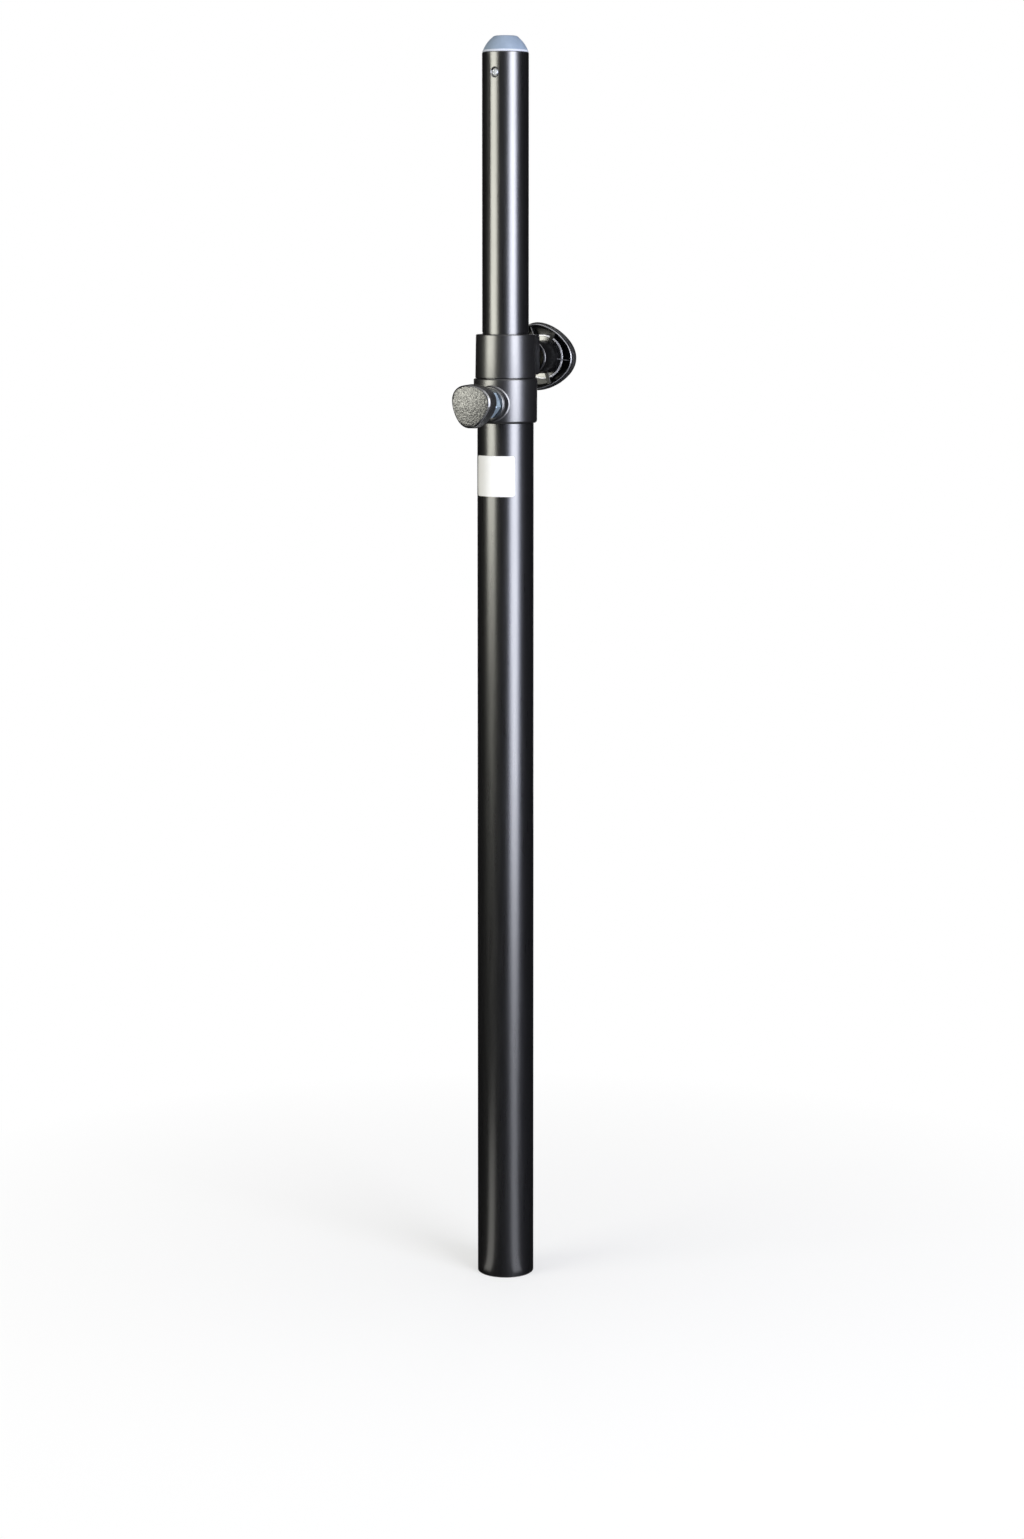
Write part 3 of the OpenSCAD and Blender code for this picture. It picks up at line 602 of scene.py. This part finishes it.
def lug_loop(inset, y):
    """Rounded rectangle across the lug, seen along the clamp screw."""
    half_w = LUG_HALF - inset
    half_h = (lug_high_z - lug_low_z) / 2 - inset
    corner_x, corner_z = half_w - LUG_CORNER, half_h - LUG_CORNER
    middle = (lug_low_z + lug_high_z) / 2 - CLAMP_Z
    loop = []
    for a in angles(LUG_POINTS):
        ux, uz = math.cos(a), math.sin(a)
        reach = min(half_w / max(abs(ux), 1e-9), half_h / max(abs(uz), 1e-9))
        if abs(reach * ux) > corner_x and abs(reach * uz) > corner_z:
            along = corner_x * abs(ux) + corner_z * abs(uz)
            past = corner_x * corner_x + corner_z * corner_z - LUG_CORNER * LUG_CORNER
            reach = along + math.sqrt(max(0, along * along - past))
        loop.append((reach * ux, reach * uz - middle, y))
    return loop


bm = bmesh.new()
lathe(bm, fillet([(LOWER_R + TUBE_GAP, sleeve_low_z, 0.2), (LOWER_R + 1.5, sleeve_low_z, 0.7),
                  (LOWER_R + 1.0, sleeve_high_z, 0.9), (MAST_R + 1.75, sleeve_high_z, 0.4),
                  (MAST_R + 1.75, bore_step_z, 0), (LOWER_R + TUBE_GAP, bore_step_z, 0)],
                 steps=6, closed=True), upright, SLEEVE_POINTS)
loops = [lug_loop(0, LOWER_R - 0.8)]
loops += [lug_loop(LUG_ROUND * (1 - math.cos(a)), lug_end - LUG_ROUND * (1 - math.sin(a)))
          for a in quarter(5)]
loops += round_loops([(7.6, lug_end), (7.1, lug_end - 0.4), (7.02, lug_end - 12)], LUG_POINTS)
loft(bm, loops, at_back(CLAMP_Z))
finish_piece("clamp_sleeve_body", bm, "pole_base", (black_casting,),
             ("clamp_sleeve",))


# Threads

LOOPS_PER_PITCH = 10
FLANK = 2.6                 # slope of a thread's flank, in depths over a pitch
CREST = 0.15                # taken off that slope, so that the crest is flat
FADED = 0.4                 # share of the depth that is gone where the thread ends


def thread_loops(radius, pitch, depth, start, end, count):
    """Loops of a right-hand thread along local +Z, faded out at both ends."""
    steps = max(2, round((end - start) / pitch * LOOPS_PER_PITCH))
    loops = []
    for i in range(steps + 1):
        z = start + (end - start) * i / steps
        fade = min(1, (z - start) / pitch, (end - z) / pitch)
        loop = []
        for a in angles(count):
            phase = (z / pitch - a / TURN) % 1
            tooth = min(1, max(0, abs(phase - 0.5) * FLANK - CREST))
            reach = radius - depth * tooth * fade - depth * FADED * (1 - fade)
            loop.append((reach * math.cos(a), reach * math.sin(a), z))
        loops.append(loop)
    return loops


# Clamp screw, M10

SCREW_POINTS = 60
SCREW_R = 5.0
SCREW_PITCH = 1.5
SCREW_DEPTH = 0.85
HEAD_R = 7.5
screw_start = low_mm("clamp_screw")[1]
screw_end = high_mm("clamp_screw")[1]
head_start = screw_end - 8
pad_end = high_mm("clamp_pad")[1]
loops = round_loops([(2.6, screw_start), (3.0, screw_start + 0.4), (3.0, pad_end + 0.3),
                     (4.2, pad_end + 0.3)], SCREW_POINTS)
loops += thread_loops(SCREW_R, SCREW_PITCH, SCREW_DEPTH, pad_end + 0.6, HUB_START + 2, SCREW_POINTS)
loops += round_loops([(SCREW_R, HUB_START + 2.2), (SCREW_R, head_start), (HEAD_R, head_start),
                      (HEAD_R, screw_end)], SCREW_POINTS)
bm = bmesh.new()
loft(bm, loops, at_back(CLAMP_Z))
finish_piece("clamp_screw_body", bm, "clamp_knob", (zinc,), ("clamp_screw",))


# Foot stud, M20, with a socket for a 10 mm key

STUD_POINTS = 72
STUD_R = 10.0
STUD_PITCH = 2.5
STUD_DEPTH = 1.4
SHANK_R = 11
KEY_TIP = 10 / math.sqrt(3)
stud_low_z = low_mm("foot_stud")[2]
stud_high_z = high_mm("foot_stud")[2]
loops = []
for z in (stud_low_z + 8, stud_low_z + 0.4):
    loop = []
    for a in angles(STUD_POINTS):
        reach = KEY_TIP * math.cos(HALF_SIXTH) / math.cos(from_sixth(a))
        loop.append((reach * math.cos(a), reach * math.sin(a), z))
    loops.append(loop)
loops += round_loops([(6.3, stud_low_z), (8.3, stud_low_z), (8.6, stud_low_z + 0.2)], STUD_POINTS)
loops += thread_loops(STUD_R, STUD_PITCH, STUD_DEPTH, stud_low_z + 1.0, -0.6, STUD_POINTS)
loops += round_loops([(9.2, 0), (SHANK_R, 0), (SHANK_R, stud_high_z)], STUD_POINTS)
bm = bmesh.new()
loft(bm, loops, upright)
finish_piece("foot_stud_body", bm, "pole_base", (bare_steel,), ("foot_stud",))


# Blank label, wrapped round the front of the lower tube

LABEL_COLUMNS = 72
LABEL_CORNER = 2.0
LABEL_HALF = 17 / LOWER_R   # half its width, as an angle
label_inner = LOWER_R + TUBE_GAP
label_outer = LOWER_R + 0.17
loops = []
for i in range(LABEL_COLUMNS + 1):
    a = LABEL_HALF * (2 * i / LABEL_COLUMNS - 1)
    inwards = LABEL_CORNER - (LABEL_HALF - abs(a)) * LOWER_R
    cut_back = 0
    if inwards > 0:
        cut_back = LABEL_CORNER - math.sqrt(max(0, LABEL_CORNER ** 2 - inwards ** 2))
    low = low_mm("label")[2] + cut_back
    high = high_mm("label")[2] - cut_back
    turn = a - math.pi / 2
    loops.append([(r * math.cos(turn), r * math.sin(turn), z)
                  for r, z in ((label_inner, low), (label_outer - 0.04, low),
                               (label_outer, low + 0.05), (label_outer, high - 0.05),
                               (label_outer - 0.04, high), (label_inner, high))])
bm = bmesh.new()
loft(bm, loops, upright)
finish_piece("label_sheet", bm, "pole_base", (label_film,), ("label",))


# Directions of the photograph's camera

CAMERA_TURN = math.radians(27)
TOWARDS = Vector((math.sin(CAMERA_TURN), -math.cos(CAMERA_TURN), 0))
RIGHT = Vector((math.cos(CAMERA_TURN), math.sin(CAMERA_TURN), 0))


def aim(obj, axis, way):
    """Turns an object so that its axis points along way."""
    obj.rotation_mode = "QUATERNION"
    obj.rotation_quaternion = way.to_track_quat(axis, "Y")


def sheet(name, points, faces, material):
    mesh = bpy.data.meshes.new(name)
    mesh.from_pydata(points, [], faces)
    mesh.materials.append(material)
    return linked(name, mesh)


# Floor, which glows like a white backdrop and takes soft shadows near the pole

FLOOR_R = 12.0
FLOOR_SIDES = 64
SHADOW_REACH = (0.05, 0.6)
GLOW_SHARE = (0.5, 1.0)
pale_floor, n = empty_material("pale_floor")
glow = n.add("ShaderNodeEmission", Color=(1, 1, 1, 1), Strength=n.direct_ray())
cloth = n.add("ShaderNodeBsdfDiffuse", Color=(0.85, 0.85, 0.85, 1))
reach = n.add("ShaderNodeVectorMath", Vector=n.add("ShaderNodeTexCoord").outputs["Object"])
reach.operation = "LENGTH"
mix = n.add("ShaderNodeMixShader", Fac=n.ranged(reach.outputs["Value"], SHADOW_REACH, GLOW_SHARE))
n.feed(mix, 1, cloth.outputs[0])
n.feed(mix, 2, glow.outputs[0])
n.add("ShaderNodeOutputMaterial", Surface=mix.outputs[0])
floor = sheet("floor", [(FLOOR_R * math.cos(a), FLOOR_R * math.sin(a), 0)
                        for a in angles(FLOOR_SIDES)], [tuple(range(FLOOR_SIDES))], pale_floor)


# Flags and cards: dark cloth and bright patches that only reflections see

def even_glow(name, colour, strength):
    material, n = empty_material(name)
    glow = n.add("ShaderNodeEmission", Color=colour + (1,), Strength=strength)
    n.add("ShaderNodeOutputMaterial", Surface=glow.outputs[0])
    return material


def flag(name, points, faces, material):
    """Sheet that only reflections see."""
    obj = sheet(name, points, faces, material)
    obj.visible_camera = False
    obj.visible_diffuse = False
    obj.visible_transmission = False
    obj.visible_volume_scatter = False
    obj.visible_shadow = False


def card(name, side_deg, half_deg, near, far, colour, strength, height=0.001):
    """Level bright patch between two distances, side_deg to the camera's right."""
    points = []
    for reach, turns in ((near, (-1, 0, 1)), (far, (1, 0, -1))):
        for turn in turns:
            a = math.radians(side_deg + half_deg * turn) - math.pi / 2 + CAMERA_TURN
            points.append((reach * math.cos(a), reach * math.sin(a), height))
    flag(name, points, [tuple(range(len(points)))], even_glow(name, colour, strength))


FLAG_R = 2.6
FLAG_H = 6.0
FLAG_SIDES = 48
TABLE_Z = 0.0005
flag_cloth = even_glow("flag_cloth", (1, 1, 1), 0.012)
wall = [(FLAG_R * math.cos(a), FLAG_R * math.sin(a), z) for z in (0.0, FLAG_H)
        for a in angles(FLAG_SIDES)]
flag("flag_wall", wall, [(i, (i + 1) % FLAG_SIDES, (i + 1) % FLAG_SIDES + FLAG_SIDES,
                          i + FLAG_SIDES) for i in range(FLAG_SIDES)], flag_cloth)
flag("flag_table", [(x, y, TABLE_Z) for x, y, z in wall[:FLAG_SIDES]],
     [tuple(range(FLAG_SIDES))], flag_cloth)
card("left_card", -57, 13, 0.03, 0.42, (1.0, 0.98, 0.92), 0.75)
card("right_card", 35, 13, 0.03, 1.40, (0.90, 0.92, 1.0), 0.75)
card("high_card", 24, 18, 0.50, 1.67, (0.95, 0.96, 1.0), 2.5, height=2.25)


# World: white to the camera and to reflections, dimmer as light

AMBIENT = 0.5
world = bpy.data.worlds.new("studio")
world.use_nodes = True
SCENE.world = world
n = Nodes(world.node_tree)
sky = n.add("ShaderNodeBackground", Color=(1, 1, 1, 1),
            Strength=n.ranged(n.direct_ray(), (0.0, 1.0), (AMBIENT, 1.0)))
n.add("ShaderNodeOutputWorld", Surface=sky.outputs[0])


# Lamps

def softbox(name, side_deg, distance, width, low, high, radiance, colour):
    """Upright panel of even radiance that faces the pole, side_deg to the camera's right."""
    side = math.radians(side_deg)
    way = TOWARDS * math.cos(side) + RIGHT * math.sin(side)
    lamp = bpy.data.lights.new(name, "AREA")
    lamp.shape = "RECTANGLE"
    lamp.size = width
    lamp.size_y = high - low
    lamp.color = colour
    lamp.energy = radiance * math.pi * lamp.size * lamp.size_y
    obj = linked(name, lamp)
    obj.location = way * distance + Vector((0, 0, (low + high) / 2))
    aim(obj, "Z", way)


softbox("right_softbox", 36.5, 1.6, 0.88, 0.02, 1.35, 4.3, (0.95, 0.96, 1.0))
softbox("right_top_softbox", 36.5, 1.7, 0.80, 0.66, 1.40, 2.4, (0.98, 0.98, 1.0))
softbox("right_fringe_softbox", 37.5, 1.75, 1.5, 0.02, 1.35, 1.9, (0.66, 0.72, 1.0))
softbox("right_high_softbox", 36.5, 1.7, 0.80, 1.42, 2.2, 4.0, (0.97, 0.97, 1.0))
softbox("left_softbox", -60, 1.6, 1.02, 0.44, 1.3, 5.3, (1.0, 0.99, 0.88))
softbox("back_right_softbox", 170, 1.7, 0.30, 0.05, 1.3, 1.6, (1.0, 1.0, 1.0))
softbox("back_left_softbox", -170, 1.7, 0.30, 0.05, 1.3, 1.6, (1.0, 0.99, 0.95))


# Camera

CAMERA_AWAY = 2.347
CAMERA_ASIDE = 0.00487
CAMERA_UP = 0.758
CAMERA_DOWN = math.radians(4.4)
lens = bpy.data.cameras.new("photo_camera")
lens.sensor_fit = "AUTO"
lens.sensor_width = 36.0
lens.lens = 73.2
lens.shift_y = -0.1635
lens.clip_end = 100.0
camera = linked("photo_camera", lens)
SCENE.camera = camera
camera.location = TOWARDS * CAMERA_AWAY + RIGHT * CAMERA_ASIDE + Vector((0, 0, CAMERA_UP))
aim(camera, "-Z", -TOWARDS * math.cos(CAMERA_DOWN) - Vector((0, 0, math.sin(CAMERA_DOWN))))

SCENE.view_settings.view_transform = "Standard"
